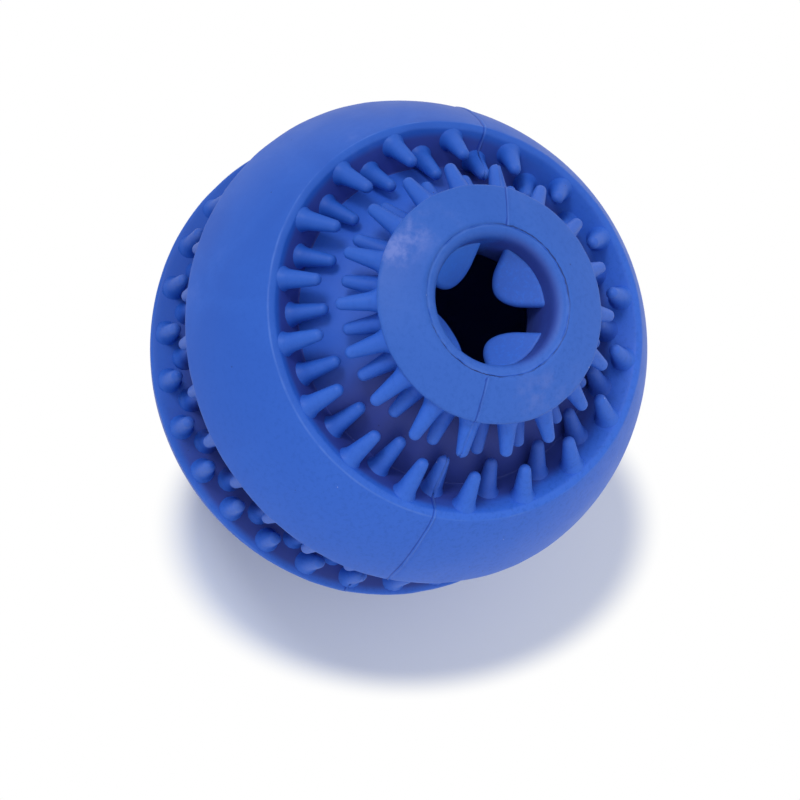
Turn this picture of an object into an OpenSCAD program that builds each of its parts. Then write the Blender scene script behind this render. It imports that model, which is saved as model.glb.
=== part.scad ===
// Treat dispensing ball: a hollow rubber ball with a mouth at each end, two wide chewing bands
// and three grooves full of cone-shaped nubs. Four flaps in each mouth hold the treats back.
// Z is the ball's axis, and the ball stands on the rim of its rear mouth. X lies in the plane
// of the mould line, which passes between the flaps.

/* [Ball] */
// Diameter of the ball across its two bands
ball_d = 80; // [76:0.5:88]
// Thickness of the hollow core's wall, from the grooves' floor to the treat cavity
core_wall = 3.5; // [2.5:0.1:6]

/* [Mouths] */
// Diameter of a mouth behind its rounded lip
mouth_d = 19.2; // [18.4:0.2:20.4]
// Radius of that lip
lip_r = 1.6; // [1:0.1:2]
// Width of the flat rim round the lip
rim_land = 0.4; // [0.3:0.05:0.8]

/* [Collars] */
// Width of a collar's dome from the rim to its edge, seen along the ball's axis
collar_w = 6.8; // [5.8:0.1:7.6]
// How far the dome stands out past the sphere of the bands
collar_rise = 1.1; // [0.6:0.1:1.8]

/* [Flaps] */
// Thickness of a flap
flap_t = 1.8; // [1.4:0.1:2]
// Angle at which a flap slopes into the ball
flap_slope = 47; // [40:1:50]
// Width of the slot between two neighbouring flaps
slot_w = 4; // [3.4:0.1:4.6]
// Diameter of the circle that the flaps' tips leave open
tip_gap_d = 10; // [9:0.2:11]
// Distance from the mouth's wall to the line on which a flap bends
bend_inset = 1.4; // [1.2:0.1:1.8]
// Depth of that line below the rim
bend_depth = 6.7; // [6.2:0.1:7.2]
// Gap between a flap and the wall round it
flap_clearance = 0.25; // [0.2:0.01:0.35]

/* [Nubs] */
// Diameter of a nub at its base
nub_base_d = 3.2; // [2.6:0.1:3.3]
// Diameter of a nub at its rounded tip
nub_tip_d = 2; // [1.5:0.1:2.3]
// Length of a nub from its base to the end of its tip
nub_length = 6.5; // [5.5:0.1:7]
// Gap between a nub's flat base and the wall that it stands on
nub_seat = 0.05; // [0.04:0.01:0.1]
// Number of nubs in each row of a polar groove
polar_nubs = 18; // [12:1:19]
// Number of nubs in each row of the equatorial groove
equator_nubs = 30; // [20:1:34]

/* [Grooves] */
// How far the outer nubs lie below the surface of their band, or of their collar's dome
nub_cover = 1.1; // [0.8:0.05:1.4]
// Distance between the middles of the two rows of nubs on a groove's wall
row_step = 2.9; // [2.6:0.05:3.2]
// Gap between the bands' inner nubs and the groove's floor
floor_gap = 0.3; // [0.2:0.05:1]
// Gap that the outer nubs' tips leave across a polar groove
polar_tip_gap = 2.43; // [1.6:0.01:3.2]
// Gap that the outer nubs' tips leave across the equatorial groove
equator_tip_gap = 3.63; // [2.8:0.01:4.6]

/* [Hidden] */
$fn = 96;

rubber_blue = [0.21, 0.38, 0.78];
flap_blue = [0.17, 0.33, 0.72];
// There is one node for each flap, so their number is fixed
flap_count = 4;
// How far a cut runs past the surface that it opens
overrun = 1;

ball_r = ball_d / 2;
dome_r = ball_r + collar_rise;
mouth_r = mouth_d / 2;
rim_r = mouth_r + lip_r + rim_land;
collar_r = rim_r + collar_w;
// The rim is the ball's highest circle, and its height is where the ball's middle stands
rim_h = sqrt(pow(dome_r, 2) - pow(rim_r, 2));

nub_base_r = nub_base_d / 2;
nub_tip_r = nub_tip_d / 2;
// The cone's side runs on smoothly into the rounded tip, and this is its angle to the nub's axis
tip_h = nub_length - nub_tip_r;
nub_taper = acos(nub_tip_r / norm([nub_base_r, tip_h])) - atan2(tip_h, nub_base_r);

// A groove is as deep as its two rows of nubs need, and its floor is the hollow core
outer_row_r = ball_r - nub_cover - nub_base_r;
inner_row_r = outer_row_r - row_step;
collar_outer_row_r = dome_r - nub_cover - nub_base_r;
collar_inner_row_r = collar_outer_row_r - row_step;
core_r = inner_row_r - nub_base_r - floor_gap;
cavity_r = core_r - core_wall;

// The grooves' walls lie on cones from the ball's middle, given by their angle to the axis. A
// groove is as wide as the nubs on its two walls need, so each wall's place follows from them.
tip_out_r = norm([outer_row_r, nub_seat + nub_length]);
nub_angle = atan2(nub_seat + nub_length, outer_row_r);
collar_nub_angle = atan2(nub_seat + nub_length, collar_outer_row_r);
collar_wall = asin(collar_r / dome_r);
polar_gap_angle = 2 * asin(polar_tip_gap / 2 / tip_out_r);
band_wall = collar_wall + collar_nub_angle + polar_gap_angle + nub_angle;
equator_wall = 90 - nub_angle - asin(equator_tip_gap / 2 / tip_out_r);
// Angles from one nub of a row to the next; neighbouring rows start half a pitch apart
polar_pitch = 360 / polar_nubs;
equator_pitch = 360 / equator_nubs;

// A flap bends about a straight line across the mouth, and its root is round about that line
bend_r = mouth_r - bend_inset;
bend_h = rim_h - bend_depth;
root_r = flap_t / 2;
root_half = sqrt(pow(mouth_r - flap_clearance, 2) - pow(bend_r, 2));
// The throat under the mouth is wide enough for the root's outer corners
throat_r = sqrt(pow(bend_r + root_r, 2) + pow(root_half, 2)) + flap_clearance;
throat_top = bend_h + root_r + flap_clearance;
// A flap's outline is a circle that touches both slots, seen along the ball's axis
flap_half_angle = 180 / flap_count;
tip_r = tip_gap_d / 2;
lobe_r = (tip_r * sin(flap_half_angle) - slot_w / 2) / (1 - sin(flap_half_angle));
lobe_x = tip_r + lobe_r;
slot_corner_x = slot_w / 2 / sin(flap_half_angle);

// The ball's middle is lifted to the rim's height, and the rear half is the front's mirror image
module on_ball(side) {
    translate([0, 0, rim_h])
        mirror([0, 0, side == "rear" ? 1 : 0])
            children();
}

// Half plane between two angles from the axis, out to past the dome
module sector(from_angle, to_angle) {
    far = 2 * dome_r;
    mid_angle = (from_angle + to_angle) / 2;
    polygon([
        [0, 0],
        [far * sin(from_angle), far * cos(from_angle)],
        [far * sin(mid_angle), far * cos(mid_angle)],
        [far * sin(to_angle), far * cos(to_angle)]
    ]);
}

// Ring of the ball between two angles, from the core out to a sphere
module ring_section(from_angle, to_angle, outer_r) {
    intersection() {
        difference() {
            circle(outer_r);
            circle(core_r);
        }
        sector(from_angle, to_angle);
    }
}

// What the rounded lip takes off the mouth's edge
module lip_cut() {
    difference() {
        translate([mouth_r - overrun, rim_h - lip_r])
            square([lip_r + overrun, lip_r + overrun]);
        translate([mouth_r + lip_r, rim_h - lip_r])
            circle(lip_r);
    }
}

// Half of the hollow core. The halves meet in a flat ring at the equator.
module core(side) {
    color(rubber_blue)
        on_ball(side)
            rotate_extrude()
                difference() {
                    circle(core_r);
                    circle(cavity_r);
                    translate([-dome_r, -dome_r])
                        square([dome_r + throat_r, 2 * dome_r]);
                    translate([0, -dome_r])
                        square([dome_r, dome_r]);
                }
}

module collar(side) {
    color(rubber_blue)
        on_ball(side)
            rotate_extrude()
                difference() {
                    ring_section(0, collar_wall, dome_r);
                    translate([0, rim_h])
                        square([2 * rim_r, collar_rise + rim_h]);
                    square([mouth_r, 2 * dome_r]);
                    square([throat_r, throat_top]);
                    lip_cut();
                }
}

module band(side) {
    color(rubber_blue)
        on_ball(side)
            rotate_extrude()
                ring_section(band_wall, equator_wall, ball_r);
}

// Outline of one flap seen along the ball's axis, pointing along X
module flap_outline() {
    touch_x = slot_corner_x + lobe_r * cos(flap_half_angle);
    touch_y = (touch_x - slot_corner_x) * tan(flap_half_angle);
    wall_y = (mouth_r - slot_corner_x) * tan(flap_half_angle);
    intersection() {
        circle(mouth_r - flap_clearance);
        union() {
            translate([lobe_x, 0])
                circle(lobe_r);
            polygon([
                [touch_x, -touch_y],
                [mouth_r, -wall_y],
                [mouth_r, wall_y],
                [touch_x, touch_y]
            ]);
        }
    }
}

module flap(side, index) {
    color(flap_blue)
        on_ball(side)
            rotate([0, 0, (2 * index - 1) * flap_half_angle]) {
                intersection() {
                    translate([bend_r, 0, bend_h])
                        rotate([0, -flap_slope, 0])
                            translate([-mouth_r, -mouth_r, -root_r])
                                cube([mouth_r, mouth_d, flap_t]);
                    linear_extrude(rim_h)
                        flap_outline();
                }
                translate([bend_r, root_half, bend_h])
                    rotate([90, 0, 0])
                        cylinder(h = 2 * root_half, r = root_r);
            }
}

// One nub standing on its base along Z
module nub() {
    cylinder(
        h = tip_h + nub_tip_r * sin(nub_taper),
        r1 = nub_base_r,
        r2 = nub_tip_r * cos(nub_taper)
    );
    translate([0, 0, tip_h])
        sphere(nub_tip_r);
}

// A ring of nubs on one groove wall. They lean towards the equator when lean is 1 and towards
// the pole when it is -1, square to the wall.
module nub_row(side, wall, lean, row_r, count, start) {
    color(rubber_blue)
        on_ball(side)
            for (i = [0 : count - 1])
                rotate([0, 0, start + i * 360 / count])
                    translate([row_r * sin(wall), 0, row_r * cos(wall)])
                        rotate([0, wall + 90 * lean, 0])
                            translate([0, 0, nub_seat])
                                nub();
}

module collar_outer_nubs(side) {
    nub_row(side, collar_wall, 1, collar_outer_row_r, polar_nubs, 0);
}

module collar_inner_nubs(side) {
    nub_row(side, collar_wall, 1, collar_inner_row_r, polar_nubs, polar_pitch / 2);
}

module band_outer_nubs(side) {
    nub_row(side, band_wall, -1, outer_row_r, polar_nubs, polar_pitch / 2);
}

module band_inner_nubs(side) {
    nub_row(side, band_wall, -1, inner_row_r, polar_nubs, 0);
}

// The two walls of the equatorial groove carry their nubs half a pitch apart
module equator_outer_nubs(side) {
    start = side == "front" ? equator_pitch / 2 : 0;
    nub_row(side, equator_wall, 1, outer_row_r, equator_nubs, start);
}

module equator_inner_nubs(side) {
    start = side == "front" ? 0 : equator_pitch / 2;
    nub_row(side, equator_wall, 1, inner_row_r, equator_nubs, start);
}

core("front");  // front_core
core("rear");  // rear_core
collar("front");  // front_collar
collar("rear");  // rear_collar
band("front");  // front_band
band("rear");  // rear_band
flap("front", 1);  // front_flap_1
flap("front", 2);  // front_flap_2
flap("front", 3);  // front_flap_3
flap("front", 4);  // front_flap_4
flap("rear", 1);  // rear_flap_1
flap("rear", 2);  // rear_flap_2
flap("rear", 3);  // rear_flap_3
flap("rear", 4);  // rear_flap_4
collar_outer_nubs("front");  // front_collar_outer_nubs
collar_inner_nubs("front");  // front_collar_inner_nubs
band_outer_nubs("front");  // front_band_outer_nubs
band_inner_nubs("front");  // front_band_inner_nubs
equator_outer_nubs("front");  // front_equator_outer_nubs
equator_inner_nubs("front");  // front_equator_inner_nubs
collar_outer_nubs("rear");  // rear_collar_outer_nubs
collar_inner_nubs("rear");  // rear_collar_inner_nubs
band_outer_nubs("rear");  // rear_band_outer_nubs
band_inner_nubs("rear");  // rear_band_inner_nubs
equator_outer_nubs("rear");  // rear_equator_outer_nubs
equator_inner_nubs("rear");  // rear_equator_inner_nubs
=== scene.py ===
import bpy
import bmesh
import math
import random
from mathutils import Matrix, Vector, noise


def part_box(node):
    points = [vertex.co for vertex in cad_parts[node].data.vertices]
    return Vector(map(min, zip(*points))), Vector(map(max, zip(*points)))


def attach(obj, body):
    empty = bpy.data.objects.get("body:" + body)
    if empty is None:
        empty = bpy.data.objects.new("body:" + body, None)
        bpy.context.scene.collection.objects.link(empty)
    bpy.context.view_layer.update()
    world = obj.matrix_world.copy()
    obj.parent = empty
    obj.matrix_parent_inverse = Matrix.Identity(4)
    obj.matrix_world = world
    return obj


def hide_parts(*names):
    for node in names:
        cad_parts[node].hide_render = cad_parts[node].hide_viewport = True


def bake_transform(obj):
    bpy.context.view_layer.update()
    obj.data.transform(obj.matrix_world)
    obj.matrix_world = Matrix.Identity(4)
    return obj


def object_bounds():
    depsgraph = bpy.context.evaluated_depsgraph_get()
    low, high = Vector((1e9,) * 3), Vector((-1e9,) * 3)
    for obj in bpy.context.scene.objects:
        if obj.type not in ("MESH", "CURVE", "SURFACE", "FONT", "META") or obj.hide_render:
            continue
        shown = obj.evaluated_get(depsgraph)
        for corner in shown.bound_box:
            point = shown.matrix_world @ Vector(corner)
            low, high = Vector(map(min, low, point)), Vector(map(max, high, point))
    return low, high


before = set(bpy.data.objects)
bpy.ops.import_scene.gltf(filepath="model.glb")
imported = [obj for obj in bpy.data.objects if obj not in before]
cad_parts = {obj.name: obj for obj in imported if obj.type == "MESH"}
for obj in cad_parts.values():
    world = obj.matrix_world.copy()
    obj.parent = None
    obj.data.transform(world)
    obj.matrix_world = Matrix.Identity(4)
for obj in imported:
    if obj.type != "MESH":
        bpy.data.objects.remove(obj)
cadLow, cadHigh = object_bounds()

mm = 0.001
margin = 0.01 * mm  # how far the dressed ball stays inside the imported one
joinGap = 0.001 * mm  # points closer than this become one
cutGap = 0.0001 * mm  # points closer than this to a cutting plane lie on it
turns = 192  # faces round every ring of the ball
rootBody = "ball"
noiseSeed = 1  # without a seed the noise starts from the clock, and differs in every run
noise.seed_set(noiseSeed)

# the ball's own measures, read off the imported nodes; heights are from the ball's middle
middle = (cadLow.z + cadHigh.z) / 2
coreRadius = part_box("front_core")[1].x
bandLow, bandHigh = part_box("front_band")
equatorWall = math.acos((bandLow.z - middle) / coreRadius)
ballRadius = bandHigh.x / math.sin(equatorWall)
bandWall = math.acos((bandHigh.z - middle) / ballRadius)
collarLow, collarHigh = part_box("front_collar")
collarWall = math.acos((collarLow.z - middle) / coreRadius)
domeRadius = collarHigh.x / math.sin(collarWall)
rimRadius = math.sqrt(domeRadius ** 2 - middle ** 2)
lip = {"land": 0.4 * mm, "radius": 1.6 * mm, "steps": 8}
boreRadius = rimRadius - lip["land"] - lip["radius"]


# a point of the XZ plane, given by its angle from the axis and its distance from the middle
def polar(angle, radius):
    return Vector((radius * math.sin(angle), 0, radius * math.cos(angle)))


# an outline in the XZ plane, drawn vertex by vertex and then turned about the ball's axis
class Outline:
    def __init__(self, start):
        self.bm = bmesh.new()
        self.first = self.bm.verts.new(start)
        self.end = self.first

    def line(self, goal, steps=1):
        start = self.end.co.copy()
        for step in range(1, steps + 1):
            self.end = bmesh.ops.extrude_vert_indiv(self.bm, verts=[self.end])["verts"][0]
            self.end.co = start.lerp(goal, step / steps)
        return self.end

    def arc(self, angle, steps, centre=(0, 0, 0)):
        turned = bmesh.ops.spin(self.bm, geom=[self.end], cent=centre, axis=(0, 1, 0),
                                angle=angle, steps=steps)
        self.end = turned["geom_last"][0]
        return self.end

    def roundOff(self, corners, reach, segments):
        rounded = bmesh.ops.bevel(self.bm, geom=corners, offset=reach, segments=segments,
                                  profile=0.5, affect="VERTICES", material=-1)
        return rounded["verts"]

    def turn(self, closed=True):
        bm = self.bm
        if closed:
            bm.edges.new((self.end, self.first))
        bmesh.ops.spin(bm, geom=bm.verts[:] + bm.edges[:], cent=(0, 0, 0), axis=(0, 0, 1),
                       angle=2 * math.pi, steps=turns, use_merge=True)
        bmesh.ops.remove_doubles(bm, verts=bm.verts[:], dist=joinGap)
        return bm


# nothing moulded is dead true: a slow swell over the whole skin and a finer wobble along given
# circles, each with its reach and its amount
unevenness = {
    "swell": 0.05 * mm,
    "swellSize": 11 * mm,
    "wobbleSize": 3.2 * mm,
    "drift": (1.7, -2.3, 0.9),  # how far each seed moves the pattern
}


def uneven(bm, circles=(), seed=0):
    shift = Vector([seed * part for part in unevenness["drift"]])
    for vert in bm.verts:
        spot = vert.co.copy()
        vert.co += noise.noise_vector(spot / unevenness["swellSize"] + shift) * unevenness["swell"]
        section = Vector((math.hypot(spot.x, spot.y), 0, spot.z))
        for circle, reach, amount in circles:
            near = max(0, 1 - (section - circle).length / reach)
            wobble = noise.noise_vector(spot / unevenness["wobbleSize"] + shift)
            vert.co += wobble * amount * near * near * (3 - 2 * near)


# the mould's two halves meet in the XZ plane, a hair out of line, with a thin fin squeezed up
# between two creases
seam = {
    "halfWidth": 0.27 * mm,
    "height": 0.24 * mm,
    "usual": 0.75,  # the fin's real height varies round this share of it
    "ragged": 0.9,
    # painted shade and highlight: the creases beside the fin are painted dark, the second one more
    # faintly, and the fin's crest pale
    "crease": 0.08 * mm,
    "fainter": 0.2,  # how dark the second crease is beside the first
    "crestHighlight": 0.9,
    "waver": 0.1 * mm,
    "waveSize": 2.3 * mm,
    "drift": (1, 1.3, -0.7),
    "slip": Vector((0.05, 0, 0.04)) * mm,
}


# cuts the mould line into a piece; the vertices carry how much painted shade the creases get, and
# less than 0 where the fin's crest gets a painted highlight
def moulded(bm, seed=0, height=seam["height"]):
    crease = bm.verts.layers.float.new("crease")
    for step in (-2, -1, 0, 1, 2):
        everything = bm.verts[:] + bm.edges[:] + bm.faces[:]
        bmesh.ops.bisect_plane(bm, geom=everything, dist=cutGap,
                               plane_co=(0, step * seam["halfWidth"], 0), plane_no=(0, 1, 0))
    bm.normal_update()
    shift = Vector([seed * part for part in seam["drift"]])
    slipped = []
    for vert in bm.verts:
        step = vert.co.y / seam["halfWidth"]
        if step < -0.5:
            slipped.append(vert)
        if abs(step) < 2.5 and math.hypot(vert.co.x, vert.co.y) > rimRadius:
            wave = noise.noise_vector(vert.co / seam["waveSize"] + shift)
            vert.co.y += seam["waver"] * wave.y
            if abs(step) < 0.5:
                vert.co += vert.normal * height * (seam["usual"] + seam["ragged"] * wave.x)
                vert[crease] = -seam["crestHighlight"]
            elif abs(step) < 1.5:
                vert.co -= vert.normal * seam["crease"]
                vert[crease] = 1 if step < 0 else seam["fainter"]
    bmesh.ops.translate(bm, vec=seam["slip"], verts=slipped)


def meshObject(bm, name, material):
    mesh = bpy.data.meshes.new(name)
    bm.to_mesh(mesh)
    bm.free()
    mesh.materials.append(material)
    made = bpy.data.objects.new(name, mesh)
    bpy.context.scene.collection.objects.link(made)
    return made


# puts a front piece where it belongs, or its mirror image for the rear, and makes it an object
def place(bm, name, side, material):
    if side == "rear":
        bmesh.ops.scale(bm, vec=(1, 1, -1), verts=bm.verts[:])
    bmesh.ops.translate(bm, vec=(0, 0, middle), verts=bm.verts[:])
    bmesh.ops.recalc_face_normals(bm, faces=bm.faces[:])
    for vert in bm.verts:
        for axis in range(3):
            low, high = cadLow[axis] + margin, cadHigh[axis] - margin
            vert.co[axis] = min(max(vert.co[axis], low), high)
    piece = meshObject(bm, name, material)
    piece.data.shade_smooth()
    print("made", name, len(piece.data.polygons), "faces")
    return piece


def onBall(piece, *nodes):
    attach(piece, rootBody)
    if nodes:
        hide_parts(*nodes)


def srgb(red, green, blue):
    def linear(value):
        value /= 255
        return value / 12.92 if value <= 0.04045 else ((value + 0.055) / 1.055) ** 2.4
    return (linear(red), linear(green), linear(blue), 1)


# a shader socket that can be added, multiplied and so on like a number
class Socket:
    def __init__(self, graph, output):
        self.graph = graph
        self.output = output

    def maths(self, operation, first, second):
        return self.graph.add("ShaderNodeMath", {"operation": operation}, {0: first, 1: second})

    def __add__(self, other):
        return self.maths("ADD", self, other)

    def __radd__(self, other):
        return self.maths("ADD", other, self)

    def __sub__(self, other):
        return self.maths("SUBTRACT", self, other)

    def __rsub__(self, other):
        return self.maths("SUBTRACT", other, self)

    def __mul__(self, other):
        return self.maths("MULTIPLY", self, other)

    def __rmul__(self, other):
        return self.maths("MULTIPLY", other, self)

    def __truediv__(self, other):
        return self.maths("DIVIDE", self, other)

    def __gt__(self, other):
        return self.maths("GREATER_THAN", self, other)

    def __lt__(self, other):
        return self.maths("LESS_THAN", self, other)


class Graph:
    def __init__(self, tree):
        self.tree = tree
        tree.nodes.clear()

    def add(self, kind, settings=None, values=None, output=0):
        made = self.tree.nodes.new(kind)
        for name, setting in (settings or {}).items():
            setattr(made, name, setting)
        for name, value in (values or {}).items():
            if isinstance(value, Socket):
                self.tree.links.new(value.output, made.inputs[name])
            else:
                made.inputs[name].default_value = value
        return Socket(self, made.outputs[output]) if made.outputs else None

    # another output of the node that a socket belongs to
    def output(self, socket, name):
        return Socket(self, socket.output.node.outputs[name])

    # runs from 0 at low to 1 at high, smoothly
    def fade(self, value, low, high):
        return self.add("ShaderNodeMapRange", {"interpolation_type": "SMOOTHSTEP"},
                        {"Value": value, "From Min": low, "From Max": high})

    def absolute(self, value):
        return self.add("ShaderNodeMath", {"operation": "ABSOLUTE"}, {0: value})

    def blend(self, factor, first, second):
        values = {0: factor, 6: first, 7: second}
        return self.add("ShaderNodeMix", {"data_type": "RGBA"}, values, output=2)

    def cloud(self, where, size, detail=3.0, roughness=0.5, distortion=0.0):
        values = {"Vector": where, "Scale": 1 / size, "Detail": detail,
                  "Roughness": roughness, "Distortion": distortion}
        return self.add("ShaderNodeTexNoise", {}, values)

    def distance(self, where, point):
        values = {0: where, 1: point}
        return self.add("ShaderNodeVectorMath", {"operation": "DISTANCE"}, values, output="Value")

    def attribute(self, name):
        return self.add("ShaderNodeAttribute", {"attribute_name": name}, output="Fac")


rubber = {
    "blue": srgb(36, 91, 191),
    "deep": srgb(30, 84, 183),
    # the pale blue of the rubber's bloom, and of the painted highlights on the nub tips
    "bloomAndHighlight": srgb(114, 134, 210),
    # the pale blue of painted highlights on edges and on the seam's fin
    "paleHighlight": srgb(90, 130, 217),
    "dust": srgb(190, 198, 235),
    # the dark blue of the dark specks, and of painted shade deep in the mouth and round the rim
    "dirtAndShade": srgb(26, 40, 100),
    # the dark blue of painted shade in the seam's creases
    "crease": srgb(8, 50, 160),
    # the dark purple blue of painted shade deep in the grooves and on the mouth's wall
    "hollow": srgb(52, 70, 154),
    # painted light: the blue that one side of the ball is painted towards so that it looks lit, and
    # where along which direction the painted light starts and ends
    "light": srgb(55, 110, 220),
    "paintedLightTowards": Vector((0.66, 0.73, 0.16)),  # the side of the ball where the blue is light
    "paintedLightStart": -38 * mm,
    "paintedLightEnd": 43 * mm,
    "patchSize": 16 * mm,
    "hazeSize": 4.5 * mm,
    "grainSize": 0.32 * mm,
    "mottleSize": 0.7 * mm,
    "mottle": 0.35,
    "patchEdge": (0.35, 0.65),  # pairs are where a cloud starts to show and where it shows fully
    "mottleEdge": (0.45, 0.7),
    "bloomPatches": (0.48, 0.75),
    "bloomHaze": (0.4, 0.68),
    "scuffHaze": (0.36, 0.62),
    "tipHighlightHaze": (0.3, 0.6),
    "ringHaze": (0.25, 0.6),
    "ringSolid": 0.3,  # the share of a ring's reach where it shows fully
    "tipHighlightEdge": (0.55, 1.0),
    "creaseEdge": (0.2, 1.0),
    "crestHighlightEdge": (-0.1, -0.9),
    "crestHighlight": 0.45,
    "speckSpacing": 2.1 * mm,
    "speckSize": 0.045,  # as a share of the spacing
    "paleSpecks": {"spread": 1.0, "rarity": 0.92, "share": 0.7},
    "darkSpecks": {"spread": 1.3, "rarity": 0.88, "share": 0.75},
    "equatorZone": 12 * mm,
    "roughness": 0.5,
    "roughnessSpread": 0.16,
    "bloomRoughness": 0.12,
    "specular": 0.28,
    "grainDepth": 0.02 * mm,
    "grainStrength": 0.6,
    "grainShare": 0.6,
}


# blue rubber with a patchy bloom, pale scuffs at given points, painted light on one side of the
# ball, painted highlights on the nub tips, rings of painted highlight and painted shade round the
# ball's axis, painted shade deep in the grooves, a painted dark line round the rim, painted shade
# in the seam's creases with a painted highlight on its fin, specks and a grain
def rubberMaterial(name, bloomShare=0.3, scuffs=(), tipHighlightShare=0.0, rings=(), rimShade=None,
                   shadeZones=(), creaseShare=0.75, changes=None):
    look = rubber | (changes or {})
    material = bpy.data.materials.new(name)
    material.use_nodes = True
    graph = Graph(material.node_tree)
    where = graph.add("ShaderNodeTexCoord", output="Object")
    patches = graph.cloud(where, look["patchSize"], detail=5, roughness=0.6, distortion=0.6)
    haze = graph.cloud(where, look["hazeSize"], detail=4, roughness=0.65)
    grain = graph.cloud(where, look["grainSize"], detail=2)
    mottle = graph.cloud(where, look["mottleSize"], detail=4, roughness=0.7)

    split = graph.add("ShaderNodeSeparateXYZ", {}, {0: where})
    sideways, crossways, height = [graph.output(split, part) for part in "XYZ"]
    fromMiddle = (sideways, crossways, height - middle)
    towards = sum(part * amount for part, amount in zip(fromMiddle, look["paintedLightTowards"]))
    color = graph.blend(graph.fade(patches, *look["patchEdge"]), look["deep"], look["blue"])
    # painted light: the blue turns lighter towards one side of the ball
    paintedLit = graph.fade(towards, look["paintedLightStart"], look["paintedLightEnd"])
    color = graph.blend(paintedLit, color, look["light"])
    mottled = graph.fade(mottle, *look["mottleEdge"]) * look["mottle"]
    color = graph.blend(mottled, color, look["deep"])
    bloomAndHighlight = graph.fade(patches, *look["bloomPatches"]) * graph.fade(haze, *look["bloomHaze"])
    bloomAndHighlight = bloomAndHighlight * bloomShare
    for point, reach, share in scuffs:
        close = graph.fade(graph.distance(where, point), reach, 0.0)
        bloomAndHighlight = bloomAndHighlight + close * graph.fade(haze, *look["scuffHaze"]) * share
    # painted highlight: the nub tips are painted pale, as where they catch the light
    if tipHighlightShare:
        tip = graph.fade(graph.attribute("along"), *look["tipHighlightEdge"])
        bloomAndHighlight = bloomAndHighlight + tip * graph.fade(haze, *look["tipHighlightHaze"]) * tipHighlightShare
    color = graph.blend(graph.fade(bloomAndHighlight, 0.0, 1.0), color, look["bloomAndHighlight"])

    flat = graph.add("ShaderNodeCombineXYZ", {}, {"X": sideways, "Y": crossways})
    radius = graph.distance(flat, (0, 0, 0))
    away = graph.absolute(height - middle)
    section = graph.add("ShaderNodeCombineXYZ", {}, {"X": radius, "Z": away})
    for circle, reach, share, colorName in rings:
        near = graph.fade(graph.distance(section, circle), reach, reach * look["ringSolid"])
        near = near * graph.fade(haze, *look["ringHaze"])
        color = graph.blend(near * share, color, look[colorName])

    # runs from 0 to 1 towards the side of the ball that lies at an azimuth
    def facing(azimuth, low, high):
        angle = math.radians(azimuth)
        along = sideways * math.cos(angle) + crossways * math.sin(angle)
        return graph.fade(along / radius, low, high)

    depth = graph.distance(where, (0, 0, middle))
    zones = {"equator": away < look["equatorZone"], "pole": away > look["equatorZone"]}
    # painted shade deep in the grooves, on one side of the ball where a zone keeps to a side
    for zone, top, end, share, side in shadeZones:
        deep = graph.fade(depth, top, end) * zones[zone] * share
        color = graph.blend(deep * facing(*side) if side else deep, color, look["hollow"])
    # painted shade: a ragged dark line round the rim
    if rimShade:
        waver = (graph.cloud(where, rimShade["waveSize"], detail=4) - 0.5) * rimShade["waver"]
        off = graph.absolute(radius + waver - rimShade["radius"])
        line = graph.fade(off, rimShade["halfWidth"], rimShade["solidWidth"])
        amount = rimShade["least"]
        for azimuth, low, high, share in rimShade["arcs"]:
            amount = amount + facing(azimuth, low, high) * share
        torn = graph.cloud(where, rimShade["tornSize"], detail=3)
        line = line * amount * graph.fade(torn, *rimShade["tornEdge"])
        color = graph.blend(line * (away > rimShade["above"]), color, look["dirtAndShade"])
    # painted shade in the creases beside the seam's fin
    crease = graph.attribute("crease")
    creased = graph.fade(crease, *look["creaseEdge"]) * creaseShare
    color = graph.blend(creased, color, look["crease"])
    # painted highlight on the fin's crest
    crestHighlight = graph.fade(crease, *look["crestHighlightEdge"]) * look["crestHighlight"]
    color = graph.blend(crestHighlight, color, look["paleHighlight"])

    def specks(kind):
        cells = {"Vector": where, "Scale": 1 / (look["speckSpacing"] * kind["spread"])}
        near = graph.add("ShaderNodeTexVoronoi", {}, cells, output="Distance") < look["speckSize"]
        chosen = graph.add("ShaderNodeTexVoronoi", {}, cells, output="Color")
        chance = graph.add("ShaderNodeSeparateColor", {}, {"Color": chosen}, output="Red")
        return near * (chance > kind["rarity"]) * kind["share"]

    color = graph.blend(specks(look["paleSpecks"]), color, look["dust"])
    color = graph.blend(specks(look["darkSpecks"]), color, look["dirtAndShade"])

    roughness = look["roughness"] + (haze - 0.5) * look["roughnessSpread"]
    roughness = roughness + bloomAndHighlight * look["bloomRoughness"]
    relief = grain * look["grainShare"] + haze * (1 - look["grainShare"])
    bump = graph.add("ShaderNodeBump", {}, {
        "Strength": look["grainStrength"], "Distance": look["grainDepth"], "Height": relief})
    shader = graph.add("ShaderNodeBsdfPrincipled", {}, {
        "Base Color": color, "Roughness": roughness, "Normal": bump,
        "Specular IOR Level": look["specular"]})
    graph.add("ShaderNodeOutputMaterial", {}, {"Surface": shader})
    return material


# a point of the collar's dome, by its azimuth and its share of the way from the rim to the edge
def onDome(azimuth, share):
    radius = rimRadius + (domeRadius * math.sin(collarWall) - rimRadius) * share
    height = math.sqrt(domeRadius ** 2 - radius ** 2)
    angle = math.radians(azimuth)
    return (radius * math.cos(angle), radius * math.sin(angle), middle + height)


# the places that are rubbed pale, how far each reaches and how pale it is
collarScuffs = [
    (onDome(247, 0.75), 6.5 * mm, 0.6),
    (onDome(262, 0.85), 5.5 * mm, 0.4),
    (onDome(45, 0.55), 8 * mm, 0.32),
    (onDome(25, 0.5), 6 * mm, 0.22),
]
# rings round the ball's axis: a circle, how far from it the ring reaches, its share and its colour
poleEdge = polar(bandWall, ballRadius)
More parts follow.
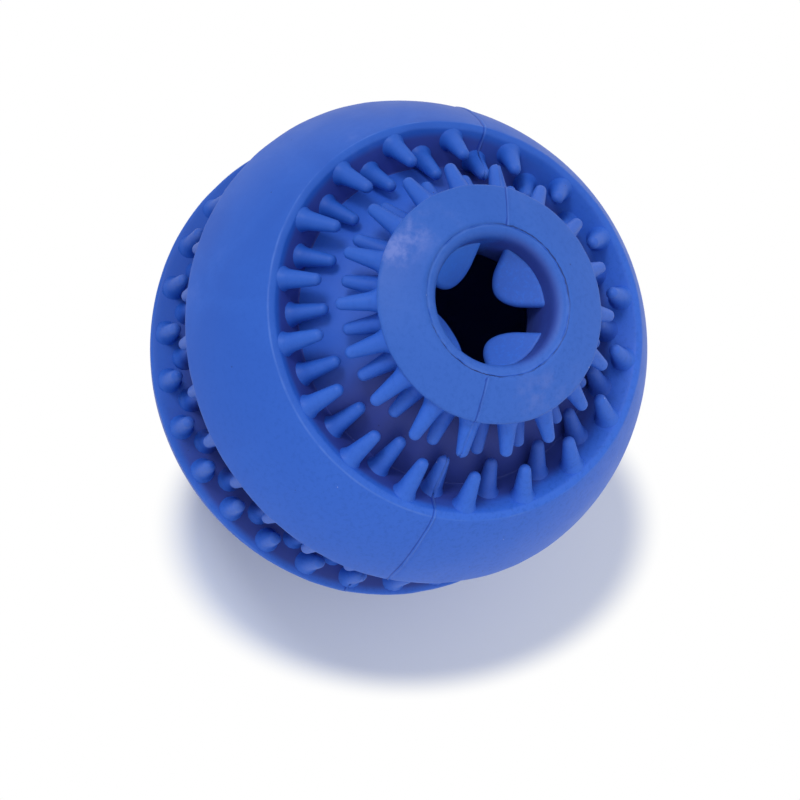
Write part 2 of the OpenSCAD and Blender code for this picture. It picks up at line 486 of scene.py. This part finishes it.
# painted highlights: pale lines along the band's chamfered pole edge and along its equator edge
bandEdgeHighlights = [
    (poleEdge, 0.3 * mm, 0.5, "paleHighlight"),
    (poleEdge + Vector((0.6, 0, -0.5)) * mm, 0.3 * mm, 0.5, "paleHighlight"),
    (polar(equatorWall, ballRadius), 0.35 * mm, 0.6, "paleHighlight"),
]
collarRings = [
    # painted shade at the foot of the collar's wall and down the bore's wall
    (polar(collarWall, coreRadius), 3 * mm, 0.8, "hollow"),
    (Vector((boreRadius, 0, 34.5 * mm)), 4.9 * mm, 0.85, "hollow"),
    # painted shade deep down the mouth's bore
    (Vector((boreRadius, 0, 27 * mm)), 7.5 * mm, 1.0, "dirtAndShade"),
    # a painted highlight along the lip's edge
    (Vector((rimRadius - 0.35 * mm, 0, middle)), 0.35 * mm, 0.3, "paleHighlight"),
]
# painted shade: a ragged dark line round the rim, where the flash meets the dome, strongest on the
# given arcs
rimShadeLine = {
    "radius": rimRadius,
    "halfWidth": 0.12 * mm,
    "solidWidth": 0.048 * mm,
    "waver": 0.5 * mm,
    "waveSize": 1.1 * mm,
    "tornSize": 2.6 * mm,
    "tornEdge": (0.25, 0.5),
    "least": 0.06,
    # azimuth, where it starts and where it is full, share
    "arcs": [(144, 0.62, 0.85, 0.7), (337, 0.76, 0.9, 0.95), (57, 0.7, 0.9, 0.4)],
    "above": 38 * mm,
}
# painted light and shade: the petals, deep in the mouth, are painted a lighter blue than the rest
# of the rubber, and darker towards one side
petalLitBlue = {"blue": srgb(66, 139, 250), "deep": srgb(60, 133, 246), "light": srgb(62, 109, 211),
             "paintedLightStart": -9 * mm, "paintedLightEnd": 3 * mm}
# zones of painted shade: by the equator or the poles, from one distance from the ball's middle down
# to another, how strong the painted shade is, and the side of the ball that a zone keeps to
bandShadeZones = [
    ("pole", 35.6 * mm, 33.8 * mm, 0.8, None),
    ("pole", 37.4 * mm, 35.4 * mm, 0.9, (330, -0.5, 0.3)),
    ("pole", 38.8 * mm, 37.4 * mm, 0.9, (270, -0.6, 0.2)),
    ("equator", 39.5 * mm, 38.2 * mm, 0.9, (355, 0.35, 0.8)),
    ("equator", 36.5 * mm, 34 * mm, 0.7, None),
]
collarShadeZones = [("pole", 40.9 * mm, 39.4 * mm, 0.8, (105, 0.0, 0.6))]
coreShadeZones = [
    ("pole", 34 * mm, 33 * mm, 1.0, (70, -0.8, -0.35)),
    ("equator", 34 * mm, 33 * mm, 1.0, None),
]
equatorShadeZones = [("equator", 36 * mm, 34.4 * mm, 0.7, None)]
polarShadeZones = [
    ("pole", 35.4 * mm, 33.4 * mm, 0.6, (350, -0.3, 0.7)),
    ("pole", 38.8 * mm, 35.5 * mm, 0.35, (60, 0.0, 0.8)),
]
# the equator nubs' pale blue, for their bloom and their painted tip highlights
equatorBlue = {"bloomAndHighlight": srgb(90, 120, 202)}
# the collar's own blues, and the blue of its painted light
collarBlue = {"blue": srgb(38, 90, 182), "deep": srgb(32, 84, 176), "light": srgb(60, 109, 208)}
# painted light: the groove floor is painted a lighter blue than the rest of the rubber
coreLitBlue = {"blue": srgb(50, 103, 212), "deep": srgb(44, 97, 204), "light": srgb(54, 106, 212)}
bandRubber = rubberMaterial("bandRubber", rings=bandEdgeHighlights, shadeZones=bandShadeZones)
collarRubber = rubberMaterial("collarRubber", scuffs=collarScuffs, rings=collarRings,
                              rimShade=rimShadeLine, shadeZones=collarShadeZones, changes=collarBlue)
nubRubber = rubberMaterial("nubRubber", bloomShare=0.15, tipHighlightShare=0.15, creaseShare=0,
                           shadeZones=polarShadeZones)
equatorNubRubber = rubberMaterial("equatorNubRubber", bloomShare=0.2, tipHighlightShare=0.4, creaseShare=0,
                                  shadeZones=equatorShadeZones, changes=equatorBlue)
coreRubber = rubberMaterial("coreRubber", bloomShare=0.1, shadeZones=coreShadeZones, changes=coreLitBlue)
petalRubber = rubberMaterial("petalRubber", bloomShare=0.12, changes=petalLitBlue)
flashRubber = rubberMaterial("flashRubber", bloomShare=0.45)

groove = {
    "filletReach": 0.3 * mm,
    "filletSteps": 4,
    "skirt": 2.2 * mm,
    "skirtSink": 0.28 * mm,
    "footSink": 0.05 * mm,
    "rootSink": 1.3 * mm,
}


# the foot of a groove's wall: skirt under the floor, and the corner that gets the fillet
def skirtPoint(wall, outward):
    return polar(wall + outward * groove["skirt"] / coreRadius, coreRadius - groove["skirtSink"])


def footPoint(wall):
    return polar(wall, coreRadius - groove["footSink"])


collarLook = {
    "edgeReach": 0.5 * mm,
    "edgeSteps": 4,
    "wallSteps": 6,
    "domeSteps": 10,
    "landSink": 0.2 * mm,
    "boreEnd": 28.2 * mm,
    "boreSteps": 14,
    "rootShare": 0.7,
    "edgeWobble": (1.4 * mm, 0.1 * mm),
    "rimWobble": (0.9 * mm, 0.09 * mm),
}
landHeight = middle - collarLook["landSink"]


def collar(side, seed):
    look = collarLook
    landRadius = rimRadius - lip["land"]
    outline = Outline(skirtPoint(collarWall, 1))
    foot = outline.line(footPoint(collarWall))
    edge = outline.line(polar(collarWall, domeRadius), look["wallSteps"])
    outline.arc(math.asin(rimRadius / domeRadius) - collarWall, look["domeSteps"])
    outline.line(Vector((rimRadius - look["landSink"] / 2, 0, landHeight)))
    outline.line(Vector((landRadius, 0, landHeight)))
    outline.arc(-math.pi / 2, lip["steps"], (landRadius, 0, landHeight - lip["radius"]))
    outline.line(Vector((boreRadius, 0, look["boreEnd"])), look["boreSteps"])
    outline.line(polar(collarWall * look["rootShare"], coreRadius - groove["rootSink"]))
    outline.line(polar(collarWall, coreRadius - groove["rootSink"]))
    outline.roundOff([foot], groove["filletReach"], groove["filletSteps"])
    outline.roundOff([edge], look["edgeReach"], look["edgeSteps"])
    bm = outline.turn()
    circles = [
        (polar(collarWall, domeRadius), *look["edgeWobble"]),
        (Vector((rimRadius, 0, middle)), *look["rimWobble"]),
    ]
    uneven(bm, circles, seed)
    moulded(bm, seed)
    onBall(place(bm, side + "Collar", side, collarRubber), side + "_collar")


flash = {
    "thickness": 0.16 * mm,
    "taper": 0.3,
    "height": 0.17 * mm,
    "usual": 0.35,
    "ragged": 0.9,
    "sink": 0.15 * mm,
    "waveSize": 1.1 * mm,
    "waver": 0.1 * mm,
}


# the thin ragged fin left round the mouth where the mould's core pin met its cavity
def mouthFlash(side, seed):
    look = flash
    inner = rimRadius - collarLook["landSink"] / 2 - look["thickness"]
    outline = Outline(Vector((inner, 0, landHeight - look["sink"])))
    outline.line(Vector((inner + look["thickness"], 0, landHeight - look["sink"])))
    outline.line(Vector((inner + look["thickness"] * (1 - look["taper"]), 0, landHeight)))
    outline.line(Vector((inner + look["thickness"] * look["taper"], 0, landHeight)))
    bm = outline.turn()
    shift = Vector((seed, 0, seed))
    for vert in bm.verts:
        wave = noise.noise_vector(vert.co / look["waveSize"] + shift)
        if vert.co.z > landHeight - look["sink"] / 2:
            vert.co.z += look["height"] * max(0, look["usual"] + look["ragged"] * wave.z)
        outwards = Vector((vert.co.x, vert.co.y, 0)).normalized()
        vert.co += outwards * wave.x * look["waver"]
    onBall(place(bm, side + "MouthFlash", side, flashRubber))


bandLook = {
    "chamfer": 0.75 * mm,
    "chamferRound": 0.2 * mm,
    "chamferSteps": 2,
    "equatorEdgeReach": 0.6 * mm,
    "edgeSteps": 5,
    "wallSteps": 6,
    "faceSteps": 16,
    "rootSteps": 6,
    "poleWobble": (1.8 * mm, 0.16 * mm),
    "equatorWobble": (1.3 * mm, 0.1 * mm),
}


def band(side, seed):
    look = bandLook
    outline = Outline(skirtPoint(bandWall, -1))
    poleFoot = outline.line(footPoint(bandWall))
    poleCorner = outline.line(polar(bandWall, ballRadius), look["wallSteps"])
    equatorCorner = outline.arc(equatorWall - bandWall, look["faceSteps"])
    equatorFoot = outline.line(footPoint(equatorWall), look["wallSteps"])
    outline.line(skirtPoint(equatorWall, 1))
    outline.line(polar(equatorWall, coreRadius - groove["rootSink"]))
    outline.line(polar(bandWall, coreRadius - groove["rootSink"]), look["rootSteps"])
    outline.roundOff([poleFoot], groove["filletReach"], groove["filletSteps"])
    outline.roundOff([equatorFoot], groove["filletReach"], groove["filletSteps"])
    chamfer = outline.roundOff([poleCorner], look["chamfer"], 1)
    outline.roundOff(chamfer, look["chamferRound"], look["chamferSteps"])
    outline.roundOff([equatorCorner], look["equatorEdgeReach"], look["edgeSteps"])
    bm = outline.turn()
    circles = [
        (polar(bandWall, ballRadius), *look["poleWobble"]),
        (polar(equatorWall, ballRadius), *look["equatorWobble"]),
    ]
    uneven(bm, circles, seed)
    moulded(bm, seed)
    onBall(place(bm, side + "Band", side, bandRubber), side + "_band")


coreLook = {
    "wall": 3.5 * mm,
    "steps": 45,
    "holeClearance": 0.15 * mm,
    "holeRound": 0.9 * mm,
    "holeSteps": 3,
}


# the hollow core: its outside is the floor of the grooves, its inside holds the treats
def hollowCore(seed):
    look = coreLook
    cavityRadius = coreRadius - look["wall"]
    holeRadius = boreRadius + look["holeClearance"]
    outerAngle = math.asin(holeRadius / coreRadius)
    innerAngle = math.asin(holeRadius / cavityRadius)
    outline = Outline(polar(math.pi / 2, coreRadius))
    outline.arc(math.pi / 2 - outerAngle, look["steps"])
    rear = outline.line(polar(math.pi - innerAngle, cavityRadius))
    front = outline.arc(2 * innerAngle - math.pi, look["steps"])
    outline.line(polar(outerAngle, coreRadius))
    outline.arc(math.pi / 2 - outerAngle, look["steps"])
    outline.roundOff([rear], look["holeRound"], look["holeSteps"])
    outline.roundOff([front], look["holeRound"], look["holeSteps"])
    bm = outline.turn(closed=False)
    uneven(bm, (), seed)
    core = place(bm, "hollowCore", "front", coreRubber)
    onBall(core, "front_core", "rear_core")


nub = {
    "baseRadius": 1.62 * mm,
    "tipRadius": 0.97 * mm,
    "length": 6.5 * mm,
    "flare": 0.35 * mm,
    "flareHeight": 1.3 * mm,
    "flareShares": (0.25, 0.55, 1),
    "root": 0.8 * mm,
    "sides": 16,
    "tipSteps": 4,
    "lean": 2.0,  # degrees, the usual slip from true
    "lengthSpread": 0.025,
    "cover": 1.1 * mm,
    "rowStep": 2.9 * mm,
    "seamHeight": 0.3 * mm,
    "collarShare": 0.94,
    "equatorLean": math.radians(7),
    "polarCount": 18,
    "equatorCount": 30,
}


# one nub standing on its base along Z, with the share of its height kept on its vertices
def nubMesh():
    tipHeight = nub["length"] - nub["tipRadius"]
    taper = math.acos(nub["tipRadius"] / math.hypot(nub["baseRadius"], tipHeight))
    taper -= math.atan2(tipHeight, nub["baseRadius"])
    shoulder = Vector((nub["tipRadius"] * math.cos(taper), 0,
                       tipHeight + nub["tipRadius"] * math.sin(taper)))

    def side(height):
        flare = max(0, 1 - height / nub["flareHeight"]) ** 2 * nub["flare"]
        radius = nub["baseRadius"] + (shoulder.x - nub["baseRadius"]) * height / shoulder.z
        return Vector((radius + flare, 0, height))

    outline = Outline(side(-nub["root"]))
    outline.line(side(0))
    for share in nub["flareShares"]:
        outline.line(side(nub["flareHeight"] * share))
    outline.line(shoulder)
    outline.arc(taper - math.pi / 2, nub["tipSteps"], (0, 0, tipHeight))
    bm = outline.bm
    bmesh.ops.spin(bm, geom=bm.verts[:] + bm.edges[:], cent=(0, 0, 0), axis=(0, 0, 1),
                   angle=2 * math.pi, steps=nub["sides"], use_merge=True)
    bmesh.ops.remove_doubles(bm, verts=bm.verts[:], dist=joinGap)
    bmesh.ops.holes_fill(bm, edges=[edge for edge in bm.edges if edge.is_boundary], sides=0)
    along = bm.verts.layers.float.new("along")
    for vert in bm.verts:
        vert[along] = vert.co.z / nub["length"]
    mesh = bpy.data.meshes.new("nub")
    bm.to_mesh(mesh)
    bm.free()
    return mesh


# a row of nubs on a groove's wall; direction is where they point, as an angle from the ball's axis,
# and surface is the sphere that they lie under
def nubRow(side, where, row, wall, direction, surface, count, halfPitch, master, seed):
    draw = random.Random(seed)
    top = surface - nub["cover"]
    rowRadius = top - nub["baseRadius"] - (nub["rowStep"] if row == "Inner" else 0)
    bm = bmesh.new()
    for index in range(count):
        azimuth = (index + (0.5 if halfPitch else 0)) * 2 * math.pi / count
        tilt = Matrix.Rotation(math.radians(draw.gauss(0, nub["lean"])), 4, "X")
        tilt = tilt @ Matrix.Rotation(math.radians(draw.gauss(0, nub["lean"])), 4, "Y")
        length = nub["collarShare"] if where == "Collar" else 1
        length += draw.gauss(0, nub["lengthSpread"])
        size = Matrix.Scale(length, 4, (0, 0, 1))
        copy = master.copy()
        copy.transform(Matrix.Rotation(azimuth, 4, "Z") @ Matrix.Translation(polar(wall, rowRadius))
                       @ Matrix.Rotation(direction, 4, "Y") @ tilt @ size)
        bm.from_mesh(copy)
        bpy.data.meshes.remove(copy)
    for vert in bm.verts:
        vert.co *= min(1, (top + nub["flare"]) / vert.co.length)
    moulded(bm, seed, nub["seamHeight"])
    node = side + "_" + where.lower() + "_" + row.lower() + "_nubs"
    look = equatorNubRubber if where == "Equator" else nubRubber
    onBall(place(bm, side + where + row + "Nubs", side, look), node)


petal = {
    "thickness": 1.8 * mm,
    "edgeRound": 0.9 * mm,
    "tipCircle": 5.0 * mm,
    "slotWidth": 4.0 * mm,
    "slotAngle": math.pi / 4,
    "topHeight": 35.15 * mm,
    "slope": math.radians(45),
    "embed": 0.6 * mm,
    "cornerAngle": math.radians(27),
    "across": 32,
    "along": 24,
    "foldStart": 8.6 * mm,
    "foldEnd": 6.6 * mm,
}


# one petal of the mouth's valve seen along the axis: a round lobe between two straight slots
class PetalPlan:
    def __init__(self, look):
        self.half = look["slotAngle"]
        self.slot = look["slotWidth"] / 2
        self.lobeRadius = look["tipCircle"] * math.sin(self.half) - self.slot
        self.lobeRadius /= 1 - math.sin(self.half)
        self.lobeCentre = look["tipCircle"] + self.lobeRadius
        self.rootRadius = boreRadius + look["embed"]
        self.rootAngle = self.half - math.asin(self.slot / self.rootRadius)
        self.corner = look["cornerAngle"]
        self.rootCorner = self.root(0)
        touch = self.onLobe(math.pi / 2 - self.half)
        self.straight = (touch - self.rootCorner).length
        self.bend = self.lobeRadius * (math.pi / 2 - self.half - self.corner)

    def onLobe(self, angle):
        x = self.lobeCentre - self.lobeRadius * math.cos(angle)
        return Vector((x, self.lobeRadius * math.sin(angle)))

    def root(self, across):
        angle = self.rootAngle * (1 - 2 * across)
        return Vector((math.cos(angle), math.sin(angle))) * self.rootRadius

    def tip(self, across):
        return self.onLobe(self.corner * (1 - 2 * across))

    def side(self, along):
        run = along * (self.straight + self.bend)
        if run < self.straight:
            return self.rootCorner - Vector((math.cos(self.half), math.sin(self.half))) * run
        return self.onLobe(math.pi / 2 - self.half - (run - self.straight) / self.lobeRadius)

    # a point of the petal, from the shares of its width and length
    def at(self, across, along):
        mirror = Vector((1, -1))
        left = self.side(along)
        right = left * mirror
        edges = self.root(across).lerp(self.tip(across), along) + left.lerp(right, across)
        rootLine = self.root(0).lerp(self.root(1), across)
        tipLine = self.tip(0).lerp(self.tip(1), across)
        return edges - rootLine.lerp(tipLine, along)

    # how far a point lies inside the petal's free edge
    def inside(self, point):
        fromLobe = point - Vector((self.lobeCentre, 0))
        if -fromLobe.x * math.tan(math.pi / 2 - self.half) > abs(fromLobe.y):
            return self.lobeRadius - fromLobe.length
        return point.x * math.sin(self.half) - abs(point.y) * math.cos(self.half) - self.slot


# one petal: an upper and a lower skin that meet in a round edge, sloping down into the mouth
def petalPiece(side, index, seed):
    look = petal
    plan = PetalPlan(look)
    slope = look["slope"]
    bm = bmesh.new()
    for face in (-1, 1):
        grid = bmesh.ops.create_grid(bm, x_segments=look["across"], y_segments=look["along"],
                                     size=0.5)
        for vert in grid["verts"]:
            across = (1 + math.sin(math.pi * vert.co.x)) / 2
            along = math.sin((vert.co.y + 0.5) * math.pi / 2)
            point = plan.at(across, along)
            depth = min(1, max(0, plan.inside(point)) / look["edgeRound"])
            half = look["thickness"] / 2 * math.sqrt(1 - (1 - depth) ** 2)
            radial = Vector((point.x, point.y, 0)).normalized()
            lift = Vector((0, 0, math.cos(slope))) - radial * math.sin(slope)
            height = look["topHeight"] - (boreRadius - point.length) * math.tan(slope)
            height -= look["thickness"] / 2 / math.cos(slope)
            vert.co = Vector((point.x, point.y, height)) + lift * half * face
    bmesh.ops.remove_doubles(bm, verts=bm.verts[:], dist=2 * joinGap)
    bmesh.ops.holes_fill(bm, edges=[edge for edge in bm.edges if edge.is_boundary], sides=0)
    uneven(bm, (), seed)
    azimuth = (index - 0.5) * math.pi / 2
    bmesh.ops.rotate(bm, matrix=Matrix.Rotation(azimuth, 3, "Z"), verts=bm.verts[:])
    node = side + "_flap_" + str(index)
    piece = place(bm, side + "Petal" + str(index), side, petalRubber)
    height = middle + (look["topHeight"] if side == "front" else -look["topHeight"])
    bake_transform(piece)
    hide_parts(node)


# each piece draws its unevenness from a seed of its own; pairs are for the front and the rear
seeds = {
    "core": 5,
    "collar": (3, 4),
    "flash": (7, 8),
    "band": (11, 12),
    "petals": (20, 24),
    "nubs": (40, 50),
}
petalCount = 4
hollowCore(seeds["core"])
nubMaster = nubMesh()
for half, side in enumerate(("front", "rear")):
    collar(side, seeds["collar"][half])
    mouthFlash(side, seeds["flash"][half])
    band(side, seeds["band"][half])
    for index in range(1, petalCount + 1):
        petalPiece(side, index, seeds["petals"][half] + index)
    # rows of nubs that face each other or share a wall stand half a pitch apart
    front = side == "front"
    square = math.pi / 2
    inwards = square + nub["equatorLean"]
    polarCount, equatorCount = nub["polarCount"], nub["equatorCount"]
    rows = [
        ("Collar", "Outer", collarWall, square, domeRadius, polarCount, False),
        ("Collar", "Inner", collarWall, square, domeRadius, polarCount, True),
        ("Band", "Outer", bandWall, -square, ballRadius, polarCount, True),
        ("Band", "Inner", bandWall, -square, ballRadius, polarCount, False),
        ("Equator", "Outer", equatorWall, inwards, ballRadius, equatorCount, front),
        ("Equator", "Inner", equatorWall, inwards, ballRadius, equatorCount, not front),
    ]
    for index, (where, row, wall, turned, surface, count, halfPitch) in enumerate(rows):
        seed = seeds["nubs"][half] + index
        nubRow(side, where, row, wall, wall + turned, surface, count, halfPitch, nubMaster, seed)

floorLook = {
    "size": 3.0,
    # painted shade: the paper is painted a bluish grey, a little darker towards the left, where it
    # shows the ball's shadow
    "left": srgb(219, 227, 241),
    "right": srgb(224, 231, 248),
    "shadowMiddle": Vector((19.8, 22.5, 0)) * mm,
    "shadowReach": Vector((27.9, 44.4, 1000)) * mm,
    "shadowTurn": math.radians(13.4),
    "whiteStart": 0.9,
    "whiteEnd": 1.11,
    "foot": Vector((-3, 5, 0)) * mm,
    "footStart": 20 * mm,
    "footEnd": 27 * mm,
    "leftEnd": -30 * mm,
    "rightStart": 50 * mm,
}


# a pale floor that takes the ball's shadow in an oval and round the ball's foot, and is plain white
# elsewhere
def floor():
    look = floorLook
    bm = bmesh.new()
    bmesh.ops.create_grid(bm, x_segments=1, y_segments=1, size=look["size"] / 2)
    material = bpy.data.materials.new("paleFloor")
    material.use_nodes = True
    graph = Graph(material.node_tree)
    where = graph.add("ShaderNodeTexCoord", output="Object")
    oval = graph.add("ShaderNodeMapping", {"vector_type": "TEXTURE"}, {
        "Vector": where, "Location": look["shadowMiddle"], "Scale": look["shadowReach"],
        "Rotation": (0, 0, look["shadowTurn"])})
    far = graph.fade(graph.distance(oval, (0, 0, 0)), look["whiteStart"], look["whiteEnd"])
    foot = graph.distance(where, look["foot"])
    far = far * graph.fade(foot, look["footStart"], look["footEnd"])
    camera = graph.add("ShaderNodeLightPath", output="Is Camera Ray")
    glossy = graph.add("ShaderNodeLightPath", output="Is Glossy Ray")
    seen = camera + glossy
    across = graph.output(graph.add("ShaderNodeSeparateXYZ", {}, {0: where}), "Y")
    side = graph.fade(across, look["leftEnd"], look["rightStart"])
    color = graph.blend(side, look["left"], look["right"])
    paper = graph.add("ShaderNodeBsdfDiffuse", {}, {"Color": color})
    white = graph.add("ShaderNodeEmission", {}, {"Strength": 1.0})
    mixed = graph.add("ShaderNodeMixShader", {}, {0: far * seen, 1: paper, 2: white})
    graph.add("ShaderNodeOutputMaterial", {}, {"Surface": mixed})
    piece = meshObject(bm, "floor", material)


floor()
print("floor laid")

light = {
    "direction": Vector((-0.3, -0.55, 0.78)),
    "distance": 1.0,
    "size": 0.28,
    "power": 2.9,
    "skyStrength": 0.77,
}


# one soft lamp over the ball, and an even sky
def lights():
    data = bpy.data.lights.new("key", "AREA")
    data.shape = "DISK"
    data.size = light["size"]
    data.energy = light["power"]
    key = bpy.data.objects.new("key", data)
    towards = light["direction"].normalized()
    key.matrix_world = (Matrix.Translation(towards * light["distance"] + Vector((0, 0, middle)))
                        @ towards.to_track_quat("Z", "Y").to_matrix().to_4x4())
    bpy.context.scene.collection.objects.link(key)
    world = bpy.data.worlds.new("softRoom")
    world.use_nodes = True
    graph = Graph(world.node_tree)
    sky = graph.add("ShaderNodeBackground", {}, {
        "Color": (1, 1, 1, 1), "Strength": light["skyStrength"]})
    graph.add("ShaderNodeOutputWorld", {}, {"Surface": sky})
    bpy.context.scene.world = world


lights()
print("lights set")

# the camera as it was fitted to the photo: its three axes, its place and its lens
view = {
    "right": Vector((-0.13059, 0.91766, 0.37528)),
    "up": Vector((-0.96396, -0.20601, 0.16830)),
    "back": Vector((0.23176, -0.33978, 0.91150)),
    "place": Vector((103.45, -138.24, 413.99)) * mm,
    "lens": 114.8,
    "sensor": 36.0,
}


def photoCamera():
    data = bpy.data.cameras.new("photoCamera")
    data.lens = view["lens"]
    data.sensor_width = view["sensor"]
    camera = bpy.data.objects.new("photoCamera", data)
    turned = Matrix((view["right"], view["up"], view["back"])).transposed().to_4x4()
    camera.matrix_world = Matrix.Translation(view["place"]) @ turned
    bpy.context.scene.collection.objects.link(camera)
    bpy.context.scene.camera = camera


photoCamera()
print("camera set")
bpy.context.scene.view_settings.view_transform = "Standard"
